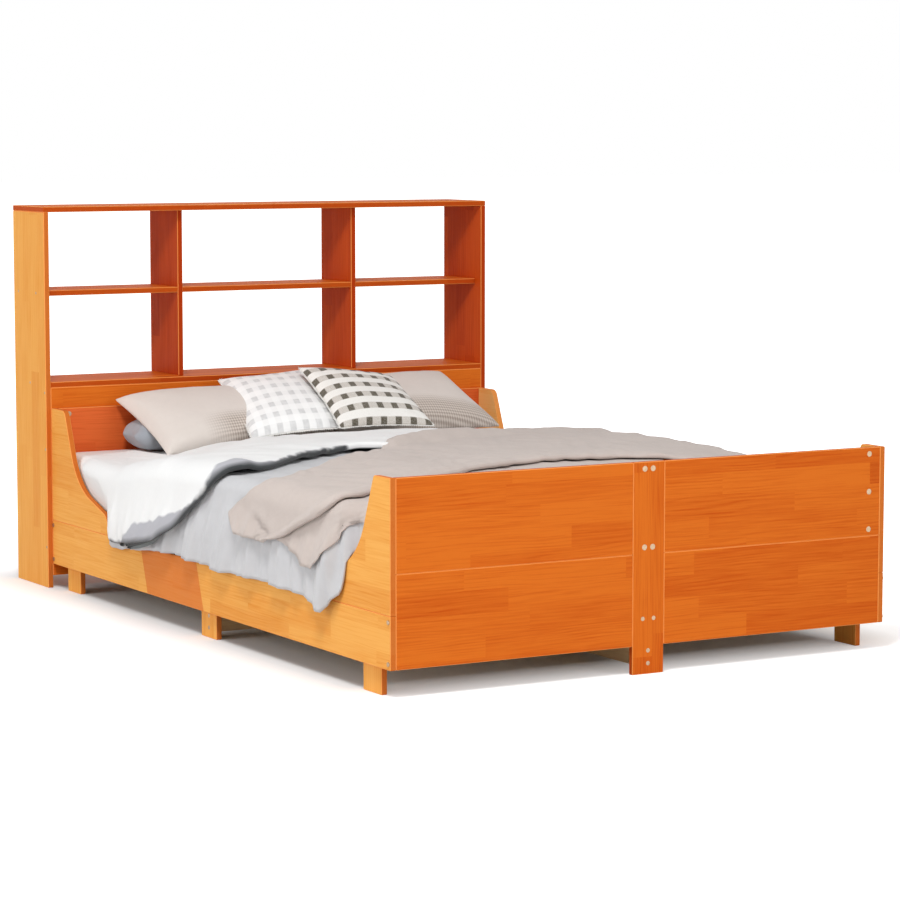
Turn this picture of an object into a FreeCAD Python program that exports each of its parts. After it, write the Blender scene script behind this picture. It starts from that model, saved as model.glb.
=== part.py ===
import FreeCAD, Part
import Sketcher
import math
import os
import re
from FreeCAD import Placement, Rotation, Vector

# A bookcase headboard bed of 16 mm pine boards, with its slatted base, mattress and bedding.
# Frame: origin on the floor under the middle of the whole length and width, +X to the right
# of someone who stands at the foot, +Y towards the bookcase, +Z up. Millimetres.

DRIVING = {
    "board": 16,              # thickness of every board
    "edge_break": 1.6,        # flat taken off the edges that hands and eyes meet
    "bed_width": 1455,        # over the outer faces of the side rails
    "bed_length": 2062,       # from the bookcase's front plane to the foot end's outer face
    "case_depth": 236,        # bookcase, front to back
    "case_height": 1116,
    "low_shelf_top": 605,
    "mid_shelf_top": 871,
    "shelf_setback": 36,      # dividers and middle shelves stand this far behind the front plane
    "cell_width": 570,        # clear width between the two dividers
    "front_panel_bottom": 36,
    "rail_bottom": 71,
    "rail_top": 201,
    "panel_seam": 300,        # between the lower and the upper end boards
    "panel_top": 529,
    "post_width": 92,
    "leg_width": 92,
    "leg_inset": 73,          # first leg from the bed's end
    "ledger_bottom": 93,
    "slat_width": 70,
    "slat_count": 14,         # on each side of the centre beam
    "beam_bottom": 15,
    "cross_top": 92,
    "wing_tip": 529,
    "head_wing_length": 404,
    "head_wing_top": 97,      # flat top, measured to the sharp shoulder before it is rounded
    "head_wing_elbow": 180,   # where the steep edge and the ramp would meet
    "head_shoulder_radius": 25,
    "foot_wing_length": 380,
    "foot_wing_top": 82,
    "foot_wing_elbow": 166,
    "foot_shoulder_radius": 10,
    "wing_elbow_height": 319,
    "wing_ramp_end": 251,
    "wing_elbow_radius": 200,
    "wing_nose_radius": 46,
    "cam_radius": 7.4,        # cam locks of 15 mm, 34 mm in from the board's end
    "cam_bore_radius": 7.6,
    "cam_bore_depth": 12.5,
    "cam_setback": 34,
    "cam_inset": 17,          # outer cams from the long edges of their board
    "pin_radius": 3.4,
    "pin_bore_radius": 3.8,
    "pin_grip": 11,           # length of cam pin inside the board it is screwed into
    "bolt_radius": 3,
    "bolt_bore_radius": 3.3,
    "bolt_length": 60,
    "bolt_head_radius": 5.6,
    "bolt_head": 2.4,
    "bolt_inset": 15,         # corner bolts from the rail's long edges
    "low_bolt": 12,           # lowest bolt above the underside of the centre beam
    "bolt_pitch": 32,
    "nut_radius": 5,
    "nut_bore_radius": 5.3,
    "nut_length": 13,
    "dowel_radius": 4,
    "dowel_length": 30,
    "screw_radius": 2,
    "screw_head_radius": 4,
    "mattress_width": 1400,
    "mattress_length": 2000,
    "mattress_height": 199,
    "mattress_corner": 45,
    "mattress_rim": 14,
}

doc = FreeCAD.newDocument("bookcase_bed")
dims = doc.addObject("Spreadsheet::Sheet", "dims")
for row, (alias, value) in enumerate(DRIVING.items(), start=1):
    dims.set(f"A{row}", alias)
    dims.set(f"B{row}", str(value))
    dims.setAlias(f"B{row}", alias)
doc.recompute()

FOOT = "-(bed_length + case_depth) / 2"       # outer face of the foot end
CASE = "(bed_length - case_depth) / 2"        # front plane of the bookcase, back of the bed
MIDDLE = "-case_depth / 2"                    # middle of the bed's length
SIDE = "bed_width / 2"                        # outer face of a side rail
SLAT_SEAT = "rail_top - board"                # top of legs, ledgers and centre beam
SIDES = {"left": -1, "right": 1}
TURNS = {
    "+X": Rotation(Vector(0, 1, 0), 90), "-X": Rotation(Vector(0, 1, 0), -90),
    "+Y": Rotation(Vector(1, 0, 0), -90), "-Y": Rotation(Vector(1, 0, 0), 90),
    "+Z": Rotation(), "-Z": Rotation(Vector(1, 0, 0), 180),
}
nodes = []
corners = {}


def size(alias):
    """The sheet's value of a driving dimension."""
    return float(dims.get(alias))


def bound(text):
    """An expression in which every driving dimension reads its cell of the sheet."""
    def cell(word):
        return "dims." + word.group() if word.group() in DRIVING else word.group()
    return re.sub(r"[a-z]+(_[a-z]+)*", cell, text)


def bind(thing, **sizes):
    for name, text in sizes.items():
        thing.setExpression(name, bound(text))


def place(thing, point, turn=None):
    """Binds a position to the sheet; the turn is a fixed rotation."""
    if turn:
        thing.Placement = Placement(Vector(), turn)
    for axis, text in zip("xyz", point):
        thing.setExpression("Placement.Base." + axis, bound(text))


def node(thing, name):
    thing.Label = name
    nodes.append(thing)
    return thing


def outer(side, distance, thickness="board"):
    """Low-X corner of a piece whose outer face is this far from the middle plane."""
    return f"-({distance})" if side < 0 else f"({distance}) - ({thickness})"


# ---------------------------------------------------------------- boards and their holes

def board(name, extent, corner, broken_edges=True):
    """A straight board from its extents along X, Y and Z and its lowest corner."""
    body = node(doc.addObject("PartDesign::Body", name), name)
    blank = body.newObject("PartDesign::AdditiveBox", name + "_blank")
    bind(blank, Length=extent[0], Width=extent[1], Height=extent[2])
    place(body, corner)
    corners[name] = corner
    if broken_edges:
        doc.recompute()
        edges = body.newObject("PartDesign::Chamfer", name + "_edges")
        edges.Base = (blank, ["Face1"])
        edges.UseAllEdges = True
        bind(edges, Size="edge_break")
    return body


def local(body, point):
    return [f"({text}) - ({start})" for text, start in zip(point, corners[body.Name])]


def bore(body, radius, depth, mouth, along, flats=12):
    """A hole from its mouth, given in the bed's frame, along an axis, in even flats."""
    hole = body.newObject("PartDesign::SubtractivePrism", body.Name + "_bore")
    place(hole, local(body, mouth), TURNS[along])
    hole.Polygon = flats
    bind(hole, Circumradius=radius, Height=depth)


def pin_hole(body, radius, depth, mouth, along):
    """A hole for a pin, dowel or shank, with six flats like the piece in it."""
    bore(body, radius, depth, mouth, along, 6)


def slot(body, extent, corner):
    cut = body.newObject("PartDesign::SubtractiveBox", body.Name + "_slot")
    place(cut, local(body, corner))
    bind(cut, Length=extent[0], Width=extent[1], Height=extent[2])


# ---------------------------------------------------------------- fasteners, one node each kind

def disc(radius, length, point, along, flats=12):
    piece = doc.addObject("Part::Prism", "round")
    piece.Polygon = flats
    place(piece, point, TURNS[along])
    bind(piece, Circumradius=radius, Height=length)
    return piece


def shank(radius, length, point, along):
    return disc(radius, length, point, along, 6)


def headed(head, stem):
    piece = doc.addObject("Part::Fuse", "bolt")
    piece.Base = head
    piece.Tool = stem
    return piece


def group(name, pieces):
    """Identical fasteners as one node of separate solids."""
    compound = node(doc.addObject("Part::Compound", name), name)
    compound.Links = pieces
    return compound


def shifted(point, axis, amount):
    return [f"{text} + ({amount})" if letter == axis else text for text, letter in zip(point, "XYZ")]


# ---------------------------------------------------------------- bookcase

CASE_HALF = f"{SIDE} + board"
SHELF_DEPTH = "case_depth - shelf_setback"
SHELF_FRONT = f"{CASE} + shelf_setback"
DIVIDER = "cell_width / 2 + board"

case_side = {}
case_divider = {}
for hand, side in SIDES.items():
    case_side[hand] = board(f"bookcase_side_{hand}", ("board", "case_depth", "case_height - board"),
                            (outer(side, CASE_HALF), CASE, "0"))
    board(f"bookcase_top_{hand}", (CASE_HALF, "case_depth", "board"),
          (f"-({CASE_HALF})" if side < 0 else "0", CASE, "case_height - board"))
    case_divider[hand] = board(f"bookcase_divider_{hand}",
                               ("board", SHELF_DEPTH, "case_height - board - low_shelf_top"),
                               (outer(side, DIVIDER), SHELF_FRONT, "low_shelf_top"))
    board(f"bookcase_shelf_{hand}", (f"{SIDE} - ({DIVIDER})", SHELF_DEPTH, "board"),
          (f"-({SIDE})" if side < 0 else DIVIDER, SHELF_FRONT, "mid_shelf_top - board"))
board("bookcase_shelf_centre", ("cell_width", SHELF_DEPTH, "board"),
      ("-cell_width / 2", SHELF_FRONT, "mid_shelf_top - board"))
board("bookcase_low_shelf", ("bed_width", "case_depth", "board"),
      (f"-({SIDE})", CASE, "low_shelf_top - board"))
case_panel = board("bookcase_front_panel",
                   ("bed_width", "board", "low_shelf_top - board - front_panel_bottom"),
                   (f"-({SIDE})", CASE, "front_panel_bottom"))

# ---------------------------------------------------------------- side rails and wings

rail = {}
for hand, side in SIDES.items():
    rail[hand] = board(f"side_rail_{hand}", ("board", "bed_length", "rail_top - rail_bottom"),
                       (outer(side, SIDE), FOOT, "rail_bottom"))


def wing(name, side, end, kind, shoulder_radius):
    """The shaped board on a side rail: flat top, steep edge, swept elbow, ramp and round nose.

    end is +1 at the head and -1 at the foot; distances run from that end of the bed.
    """
    body = node(doc.addObject("PartDesign::Body", name), name)
    plane = [f for f in body.Origin.OriginFeatures if f.Role == "YZ_Plane"][0]
    sketch = body.newObject("Sketcher::SketchObject", name + "_outline")
    sketch.AttachmentSupport = [(plane, "")]
    sketch.MapMode = "FlatFace"
    outline = [("0", "rail_top"), ("0", "wing_tip"), (f"{kind}_wing_top", "wing_tip"),
               (f"{kind}_wing_elbow", "wing_elbow_height"), (f"{kind}_wing_length", "wing_ramp_end"),
               (f"{kind}_wing_length", "rail_top")]
    rough = [Vector(-end * (size(along) if along != "0" else 0), size(height), 0)
             for along, height in outline]
    for i, start in enumerate(rough):
        sketch.addGeometry(Part.LineSegment(start, rough[(i + 1) % len(rough)]))
    for i in range(len(rough)):
        sketch.addConstraint(Sketcher.Constraint("Coincident", i, 2, (i + 1) % len(rough), 1))
    for i, (along, height) in enumerate(outline):
        up = sketch.addConstraint(Sketcher.Constraint("DistanceY", -1, 1, i, 1, rough[i].y))
        sketch.setExpression(f"Constraints[{up}]", bound(height))
        if along == "0":
            sketch.addConstraint(Sketcher.Constraint("PointOnObject", i, 1, -2))
            continue
        nearer, further = ((i, 1), (-1, 1)) if end > 0 else ((-1, 1), (i, 1))
        across = sketch.addConstraint(
            Sketcher.Constraint("DistanceX", *nearer, *further, abs(rough[i].x)))
        sketch.setExpression(f"Constraints[{across}]", bound(along))
    pad = body.newObject("PartDesign::Pad", name + "_pad")
    pad.Profile = sketch
    bind(pad, Length="board")
    corner = (outer(side, SIDE), CASE if end > 0 else FOOT, "0")
    place(body, corner)
    corners[name] = corner
    doc.recompute()
    tip = pad
    for point, radius in ((2, shoulder_radius), (3, "wing_elbow_radius"), (4, "wing_nose_radius")):
        along = -end * size(outline[point][0])
        height = size(outline[point][1])
        edge = [f"Edge{n}" for n, e in enumerate(tip.Shape.Edges, start=1)
                if abs(e.Length - size("board")) < 0.01
                and math.hypot(e.CenterOfMass.y - along, e.CenterOfMass.z - height) < 0.5]
        fillet = body.newObject("PartDesign::Fillet", f"{name}_round_{point}")
        fillet.Base = (tip, edge)
        bind(fillet, Radius=radius)
        doc.recompute()
        tip = fillet
    edges = body.newObject("PartDesign::Chamfer", name + "_edges")
    edges.Base = (tip, ["Face1"])
    edges.UseAllEdges = True
    bind(edges, Size="edge_break")
    return body


wings = {}
for hand, side in SIDES.items():
    wings["head", hand] = wing(f"head_wing_{hand}", side, 1, "head", "head_shoulder_radius")
    wings["foot", hand] = wing(f"foot_wing_{hand}", side, -1, "foot", "foot_shoulder_radius")

# ---------------------------------------------------------------- foot end and head end

PANEL_LENGTH = f"{SIDE} - board - post_width / 2"
PANEL_OUTER = f"{SIDE} - board"
END_FACE = {"foot": FOOT, "head": f"{CASE} - board"}
upper = {}
lower = {}
post = {}
for end, face in END_FACE.items():
    kind = {"foot": "footboard", "head": "headboard"}[end]
    for hand, side in SIDES.items():
        start = outer(side, PANEL_OUTER, PANEL_LENGTH)
        upper[end, hand] = board(f"{kind}_upper_{hand}",
                                 (PANEL_LENGTH, "board", "panel_top - panel_seam"),
                                 (start, face, "panel_seam"))
        lower[end, hand] = board(f"{kind}_lower_{hand}",
                                 (PANEL_LENGTH, "board", "panel_seam - rail_bottom"),
                                 (start, face, "rail_bottom"))
    post[end] = board(f"{kind}_post", ("post_width", "board", "panel_top"),
                      ("-post_width / 2", face, "0"))

# ---------------------------------------------------------------- legs and slatted base

LEG_OUTER = f"{SIDE} - board"
LEG_PLACES = {
    "foot": f"{FOOT} + leg_inset",
    "middle": f"{MIDDLE} - leg_width / 2",
    "head": f"{CASE} - leg_inset - leg_width",
}
leg = {}
for end, start in LEG_PLACES.items():
    for hand, side in SIDES.items():
        leg[end, hand] = board(f"{end}_leg_{hand}", ("board", "leg_width", SLAT_SEAT),
                               (outer(side, LEG_OUTER), start, "0"))

LEDGER_HEIGHT = f"{SLAT_SEAT} - ledger_bottom"
LEDGER_RUN = "bed_length / 2 - leg_inset - leg_width * 3 / 2"
side_ledger = {}
for hand, side in SIDES.items():
    for end, start in (("foot", f"{FOOT} + leg_inset + leg_width"), ("head", f"{MIDDLE} + leg_width / 2")):
        side_ledger[end, hand] = board(f"side_ledger_{end}_{hand}", ("board", LEDGER_RUN, LEDGER_HEIGHT),
                                       (outer(side, LEG_OUTER), start, "ledger_bottom"), False)

BASE_START = f"{FOOT} + board"
BASE_RUN = "bed_length - 2 * board"
beam = board("centre_beam", ("board", BASE_RUN, f"{SLAT_SEAT} - beam_bottom"),
             ("-board / 2", BASE_START, "beam_bottom"), False)
cross = board("cross_board", ("bed_width - 4 * board", "board", "cross_top - beam_bottom"),
              ("-(bed_width / 2 - 2 * board)", f"{MIDDLE} - board / 2", "beam_bottom"), False)
HALF_LAP = "(cross_top - beam_bottom) / 2"
slot(beam, ("board", "board", HALF_LAP), ("-board / 2", f"{MIDDLE} - board / 2", "beam_bottom"))
slot(cross, ("board", "board", HALF_LAP),
     ("-board / 2", f"{MIDDLE} - board / 2", f"beam_bottom + {HALF_LAP}"))

centre_ledger = {}
for hand, side in SIDES.items():
    centre_ledger[hand] = board(f"centre_ledger_{hand}", ("board", BASE_RUN, LEDGER_HEIGHT),
                                (outer(side, "board * 3 / 2"), BASE_START, "ledger_bottom"), False)
    board(f"centre_leg_{hand}", ("board", "leg_width", "ledger_bottom"),
          (outer(side, "board * 3 / 2"), f"{MIDDLE} - board / 2 - leg_width", "0"))

SLAT_GAP = "2"
SLAT_LENGTH = f"{SIDE} - board - {SLAT_GAP}"
SLAT_PITCH = f"({BASE_RUN} - slat_width - 24) / (slat_count - 1)"
for hand, side in SIDES.items():
    slats = []
    for i in range(int(size("slat_count"))):
        slat = doc.addObject("Part::Box", "slat")
        bind(slat, Length=SLAT_LENGTH, Width="slat_width", Height="board")
        place(slat, (outer(side, f"{SIDE} - board - {SLAT_GAP} / 2", SLAT_LENGTH),
                     f"{BASE_START} + 12 + {i} * {SLAT_PITCH}", SLAT_SEAT))
        slats.append(slat)
    group(f"slats_{hand}", slats)

# ---------------------------------------------------------------- cam locks and their pins

# Each end board has three cams at its corner with the wing, and the posts have two for each
# board beside them. The same kit board is used turned over, so the discs face opposite ways.
CAM_FACES = {("foot", "left"): "+Y", ("foot", "right"): "-Y", ("head", "left"): "-Y",
             ("head", "right"): "+Y"}
CAM_HEIGHTS = ("panel_seam + cam_inset", "(panel_seam + panel_top) / 2", "panel_top - cam_inset")
CAM_SINK = "0.3"
cams = []
pins = []


def cam(body, x, end, z, opens):
    """A bore in the board's face and the disc in it."""
    face = END_FACE[end] if opens == "-Y" else f"{END_FACE[end]} + board"
    inwards = "+Y" if opens == "-Y" else "-Y"
    step = CAM_SINK if opens == "-Y" else f"-{CAM_SINK}"
    bore(body, "cam_bore_radius", "cam_bore_depth", (x, face, z), inwards)
    cams.append(disc("cam_radius", "cam_bore_depth - 0.5", (x, f"{face} + {step}", z), inwards))


def cam_pin(holder, grip, locked, x, end, z, towards):
    """A pin screwed into one board for the grip's length and running to the next board's cam.

    x is the plane where the two boards meet and towards the way to the cam, -1 or +1.
    """
    y = f"{END_FACE[end]} + board / 2"
    reach = "cam_setback - cam_bore_radius"
    away = "-X" if towards > 0 else "+X"
    to_cam = "+X" if towards > 0 else "-X"
    pin_hole(holder, "pin_bore_radius", f"{grip} + 0.5", (x, y, z), away)
    pin_hole(locked, "pin_bore_radius", f"{reach} + 3", (x, y, z), to_cam)
    pins.append(shank("pin_radius", f"{reach} + {grip}", (f"{x} - {towards} * ({grip})", y, z), to_cam))


for (end, hand), opens in CAM_FACES.items():
    side = SIDES[hand]
    for z in CAM_HEIGHTS:
        cam(upper[end, hand], f"{side} * ({PANEL_OUTER} - cam_setback)", end, z, opens)
        cam_pin(wings[end, hand], "pin_grip", upper[end, hand], f"{side} * ({PANEL_OUTER})", end, z, -side)
    for z in (CAM_HEIGHTS[0], CAM_HEIGHTS[2]):
        cam(post[end], f"{side} * (post_width / 2 - cam_setback)", end, z, "-Y")
        cam_pin(upper[end, hand], "2 * pin_grip", post[end], f"{side} * post_width / 2", end, z, -side)
group("cam_locks", cams)
group("cam_pins", pins)

# ---------------------------------------------------------------- bolts and barrel nuts

corner_bolts = []
nuts = []
NUT_SETBACK = "bolt_length - board + nut_radius"
for (end, hand), opens in CAM_FACES.items():
    side = SIDES[hand]
    inwards = "-X" if side > 0 else "+X"
    y = f"{END_FACE[end]} + board / 2"
    for z in ("rail_bottom + bolt_inset", "rail_top - bolt_inset"):
        surface = f"{side} * ({SIDE})"
        pin_hole(rail[hand], "bolt_bore_radius", "board", (surface, y, z), inwards)
        pin_hole(lower[end, hand], "bolt_bore_radius", "bolt_length - board + 3",
                 (f"{side} * ({PANEL_OUTER})", y, z), inwards)
        head = disc("bolt_head_radius", "bolt_head", (f"{surface} + {side} * bolt_head", y, z), inwards)
        corner_bolts.append(headed(head, shank("bolt_radius", "bolt_length", (surface, y, z), inwards)))
        nut_x = f"{side} * ({PANEL_OUTER} - ({NUT_SETBACK}))"
        inner_face = f"{END_FACE[end]} + board" if end == "foot" else END_FACE[end]
        into = "-Y" if end == "foot" else "+Y"
        bore(lower[end, hand], "nut_bore_radius", "nut_length", (nut_x, inner_face, z), into)
        nuts.append(disc("nut_radius", "nut_length - 0.5", (nut_x, inner_face, z), into))
group("corner_bolts", corner_bolts)
group("barrel_nuts", nuts)

base_bolts = []


def base_bolt(first, second, point, along):
    """A bolt with its head let in flush, through one board into the end of the next."""
    pin_hole(first, "bolt_bore_radius", "board", point, along)
    bore(first, "bolt_head_radius + 0.2", "bolt_head + 0.2", point, along)
    axis = along[1]
    sign = "" if along[0] == "+" else "-"
    meet = shifted(point, axis, f"{sign}board")
    pin_hole(second, "bolt_bore_radius", "bolt_length - board + 2", meet, along)
    head = disc("bolt_head_radius", "bolt_head", shifted(point, axis, f"{sign}0.1"), along)
    stem = shank("bolt_radius", "bolt_length", shifted(point, axis, f"{sign}0.1"), along)
    base_bolts.append(headed(head, stem))


LOW_BOLTS = ("beam_bottom + low_bolt", "beam_bottom + low_bolt + bolt_pitch")
LEDGER_MIDDLE = f"(ledger_bottom + {SLAT_SEAT}) / 2"
for end, face in (("foot", FOOT), ("head", CASE)):
    into = "+Y" if end == "foot" else "-Y"
    for z in LOW_BOLTS:
        base_bolt(post[end], beam, ("0", face, z), into)
    for hand, side in SIDES.items():
        base_bolt(post[end], centre_ledger[hand], (f"{side} * board", face, LEDGER_MIDDLE), into)
for hand, side in SIDES.items():
    for z in LOW_BOLTS:
        base_bolt(leg["middle", hand], cross, (f"{side} * ({LEG_OUTER})", MIDDLE, z),
                  "-X" if side > 0 else "+X")
group("base_bolts", base_bolts)

# ---------------------------------------------------------------- dowels

dowels = []


def dowel(low, high, point):
    """An upright dowel, half in the board below the joint and half in the one above."""
    for body, along in ((low, "-Z"), (high, "+Z")):
        pin_hole(body, "dowel_radius + 0.2", "dowel_length / 2 + 0.5", point, along)
    dowels.append(shank("dowel_radius", "dowel_length", shifted(point, "Z", "-dowel_length / 2"), "+Z"))


for (end, hand), opens in CAM_FACES.items():
    side = SIDES[hand]
    end_plane = CASE if end == "head" else FOOT
    inwards = -1 if end == "head" else 1
    for reach in ("60", f"{end}_wing_length - 60"):
        dowel(rail[hand], wings[end, hand],
              (f"{side} * ({SIDE} - board / 2)", f"{end_plane} + {inwards} * ({reach})", "rail_top"))
    for reach in ("150", f"{PANEL_LENGTH} - 150"):
        dowel(lower[end, hand], upper[end, hand],
              (f"{side} * (post_width / 2 + {reach})", f"{END_FACE[end]} + board / 2", "panel_seam"))
group("dowels", dowels)

# ---------------------------------------------------------------- screws

bookcase_screws = []


def case_screw(body, point, along):
    """A screw with its head let in flush; its thread cuts its own way past the first board."""
    bore(body, "screw_head_radius + 0.2", "2.2", point, along)
    pin_hole(body, "screw_radius + 0.2", "board", point, along)
    sign = "" if along[0] == "+" else "-"
    sunk = shifted(point, along[1], f"{sign}0.1")
    bookcase_screws.append(headed(disc("screw_head_radius", "2", sunk, along),
                                  shank("screw_radius", "board - 0.1", sunk, along)))


PANEL_CENTRE = f"{CASE} + board / 2"
SHELF_CENTRE = "mid_shelf_top - board / 2"
for hand, side in SIDES.items():
    into = "-X" if side > 0 else "+X"
    for y, z in ((f"{CASE} + 65", SHELF_CENTRE), (f"{CASE} + 201", SHELF_CENTRE),
                 (PANEL_CENTRE, "574"), (PANEL_CENTRE, "408"), (PANEL_CENTRE, "120"),
                 (f"{CASE} + 120", "low_shelf_top - board / 2")):
        case_screw(case_side[hand], (f"{side} * ({CASE_HALF})", y, z), into)
group("bookcase_screws", bookcase_screws)

# ---------------------------------------------------------------- mattress and bedding

mattress = board("mattress", ("mattress_width", "mattress_length", "mattress_height"),
                 ("-mattress_width / 2", f"{CASE} - board - 6 - mattress_length", "rail_top + 0.5"), False)
doc.recompute()
mattress_blank = mattress.Tip
upright = [f"Edge{n}" for n, e in enumerate(mattress_blank.Shape.Edges, start=1)
           if abs(e.Length - size("mattress_height")) < 0.01]
mattress_corners = mattress.newObject("PartDesign::Fillet", "mattress_corners")
mattress_corners.Base = (mattress_blank, upright)
bind(mattress_corners, Radius="mattress_corner")
doc.recompute()
level = [f"Edge{n}" for n, e in enumerate(mattress_corners.Shape.Edges, start=1)
         if e.BoundBox.ZLength < 0.01]
mattress_rims = mattress.newObject("PartDesign::Chamfer", "mattress_rims")
mattress_rims.Base = (mattress_corners, level)
bind(mattress_rims, Size="mattress_rim")

MATTRESS_TOP = size("rail_top") + size("mattress_height") + 0.5
MATTRESS_HALF = size("mattress_width") / 2
BED_HALF = size("bed_width") / 2
CASE_Y = (size("bed_length") - size("case_depth")) / 2


def soft(name, shape):
    thing = node(doc.addObject("Part::Feature", name), name)
    thing.Shape = shape
    return thing


def closed(points):
    return Part.makePolygon(points + points[:1])


def faceted_loft(sections):
    """A ruled loft through sections whose edges stay parallel, so each face is a plane."""
    loft = Part.makeLoft(sections, True, True)
    faces = [Part.Face(closed([corner.Point for corner in face.OuterWire.OrderedVertexes]))
             for face in loft.Faces]
    shell = Part.makeShell(faces)
    shell.sewShape()
    return Part.makeSolid(shell)


def from_case(x, distance, z):
    """A point by its distance from the bookcase's front plane towards the foot."""
    return Vector(x, CASE_Y - distance, z)


# A filled cover rises from its seam in three slopes; each climbs its share of the thickness.
CROWN_SLOPES = ((60, 0.46), (35, 0.36), (15, 0.18))
EDGE_PULL = 14.0        # how far the long edges are drawn in at their middles


def cushion_section(x, half_height, half_thickness):
    along, up = half_height, 0.0
    quarter = [(along, up)]
    for angle, share in CROWN_SLOPES:
        climb = half_thickness * share
        along -= climb / math.tan(math.radians(angle))
        up += climb
        quarter.append((along, up))
    top = quarter + [(-y, z) for y, z in reversed(quarter)]
    under = [(y, -z) for y, z in reversed(top[1:-1])]
    return closed([Vector(x, y, z) for y, z in top + under])


def cushion(name, width, height, thickness, corner_points):
    """A filled cover with a crowned middle, thin corners and long edges drawn in between them.

    corner_points are where its corners lie: lower left, lower right, upper right, upper left.
    """
    sections = []
    for share in (-1.0, -0.97, -0.9, -0.78, -0.58, -0.3, 0.0, 0.3, 0.58, 0.78, 0.9, 0.97, 1.0):
        crown = math.sqrt(max(0.0, 1.0 - share ** 4))
        sections.append(cushion_section(share * width / 2,
                                        height / 2 - EDGE_PULL * (1 - share ** 2),
                                        thickness / 2 * crown + 4.0))
    low_left, low_right, high_right, high_left = [from_case(*point) for point in corner_points]
    across = low_right - low_left + high_right - high_left
    slope = high_left - low_left + high_right - low_right
    thing = soft(name, faceted_loft(sections))
    thing.Placement = Placement((low_left + low_right + high_right + high_left) / 4,
                                Rotation(across, slope, across.cross(slope), "XYZ"))
    return thing


# Corners by their X, their distance from the bookcase's front plane and their height.
cushion("pillow_grey", 520, 150, 66,
        ((-555, 180, 443), (-35, 180, 443), (-35, 30, 443), (-555, 30, 443)))
cushion("pillow_taupe_left", 560, 345, 84,
        ((-507, 352, 430), (53, 352, 430), (35, 40, 570), (-525, 40, 570)))
cushion("pillow_taupe_right", 540, 330, 84,
        ((100, 330, 443), (640, 330, 443), (580, 50, 598), (40, 50, 598)))
cushion("cushion_gingham", 370, 365, 46,
        ((-266, 440, 492), (90, 440, 496), (130, 100, 642), (-214, 100, 640)))
cushion("cushion_check", 330, 330, 46,
        ((62, 480, 524), (374, 480, 504), (378, 190, 626), (77, 190, 664)))

# The duvet, its turned-back part and the throw are lofts through cross-sections along the bed.
# A section runs over the mattress, rounds the shoulder, falls outside the rails and comes back
# on its inner face. All its edges keep their direction from one station to the next.
HANG_INNER = BED_HALF + 1.6
TUCK_INNER = MATTRESS_HALF + 0.6
SHOULDER = ((30, 0), (12, 16), (0, 48))     # in from the hang's face, down from the top
UNDER_SLOPE = 0.35                          # of the inner face, from the mattress over the rail
LAYER_INNER = HANG_INNER + 8.6              # of what hangs outside the duvet
LAYER_THICK = 5.6


def shoulder(hang, top):
    return [(hang - inset, top - drop) for inset, drop in SHOULDER]


def mirrored(points):
    return [(-x, z) for x, z in reversed(points)]


def duvet_section(station):
    """A station holds the distance from the bookcase, the height of the top, the lowest edge,
    the height at which the inner face clears the rail or wing, and the fold's swell outwards."""
    distance, top, low, clear, swell = station
    out = swell > 0
    inner = HANG_INNER if out else TUCK_INNER + 0.5
    hang = inner + (swell if out else 6.0)
    right = shoulder(hang, top) + [(hang, low), (inner, low), (inner, clear),
                                   (TUCK_INNER, clear + UNDER_SLOPE * (inner - TUCK_INNER)),
                                   (TUCK_INNER, MATTRESS_TOP + 1)]
    return closed([from_case(x, distance, z) for x, z in right + mirrored(right)])


def layer_section(distance, left, right):
    """A layer over the duvet between two ends. An end hangs at the side, given by the top's
    height, its thickness and the low edge, or stops on the top, given by the same and its X."""
    over, under = [], []
    for hand, (top, thick, end) in ((1, right), (-1, left)):
        if isinstance(end, tuple):
            above, below = [(end[0], top + thick)], [(end[0], top)]
        else:
            outer_face = LAYER_INNER + LAYER_THICK
            above = [(hand * x, z) for x, z in shoulder(outer_face, top + thick) + [(outer_face, end)]]
            below = [(hand * x, z) for x, z in shoulder(LAYER_INNER, top) + [(LAYER_INNER, end)]]
        over.append(above)
        under.append(below)
    points = over[1][::-1] + over[0] + under[0][::-1] + under[1]
    return closed([from_case(x, distance, z) for x, z in points])


DUVET_STATIONS = (
    (362, 442, 300, 306, 0), (414, 446, 300, 306, 0), (424, 447, 262, 300, 6), (441, 448, 180, 216, 8),
    (520, 450, 179, 216, 5), (610, 451, 187, 216, 8), (700, 452, 196, 216, 5), (790, 452, 203, 216, 8),
    (880, 453, 207, 216, 5), (950, 453, 205, 216, 8), (1024, 454, 202, 216, 5), (1100, 455, 199, 216, 8),
    (1167, 456, 196, 216, 5), (1240, 456, 200, 216, 8), (1330, 456, 203, 216, 5), (1439, 456, 203, 216, 8),
    (1580, 456, 200, 218, 5), (1660, 455, 190, 262, 8), (1754, 454, 176, 292, 5), (1800, 452, 190, 308, 7),
    (1843, 450, 222, 326, 5), (1849, 450, 270, 338, 4), (1854, 450, 334, 346, 3), (1862, 449, 340, 346, 0),
    (2014, 446, 340, 346, 0),
)
# The turned-back part: distance, thickness, low edge at the left side, right edge on the top.
TURNED_STATIONS = (
    (446, 22, 187, 655), (539, 23, 192, 655), (590, 22, 200, 655), (602, 22, 202, 420), (655, 22, 210, 322),
    (680, 22, 214, 240), (716, 22, 220, 120), (820, 21, 236, -40), (900, 21, 262, -145), (960, 20, 285, -215),
    (1000, 20, 315, -422), (1064, 19, 366, -590), (1100, 18, 382, -655),
)
TURNED_SEAT = 446.0     # a little below the duvet's top, with which it is one piece
duvet_body = faceted_loft([duvet_section(station) for station in DUVET_STATIONS])
turned_part = faceted_loft([layer_section(distance, (TURNED_SEAT, thick, low), (TURNED_SEAT, thick, (end,)))
                            for distance, thick, low, end in TURNED_STATIONS])
soft("duvet", duvet_body.fuse(turned_part).removeSplitter())

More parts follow.
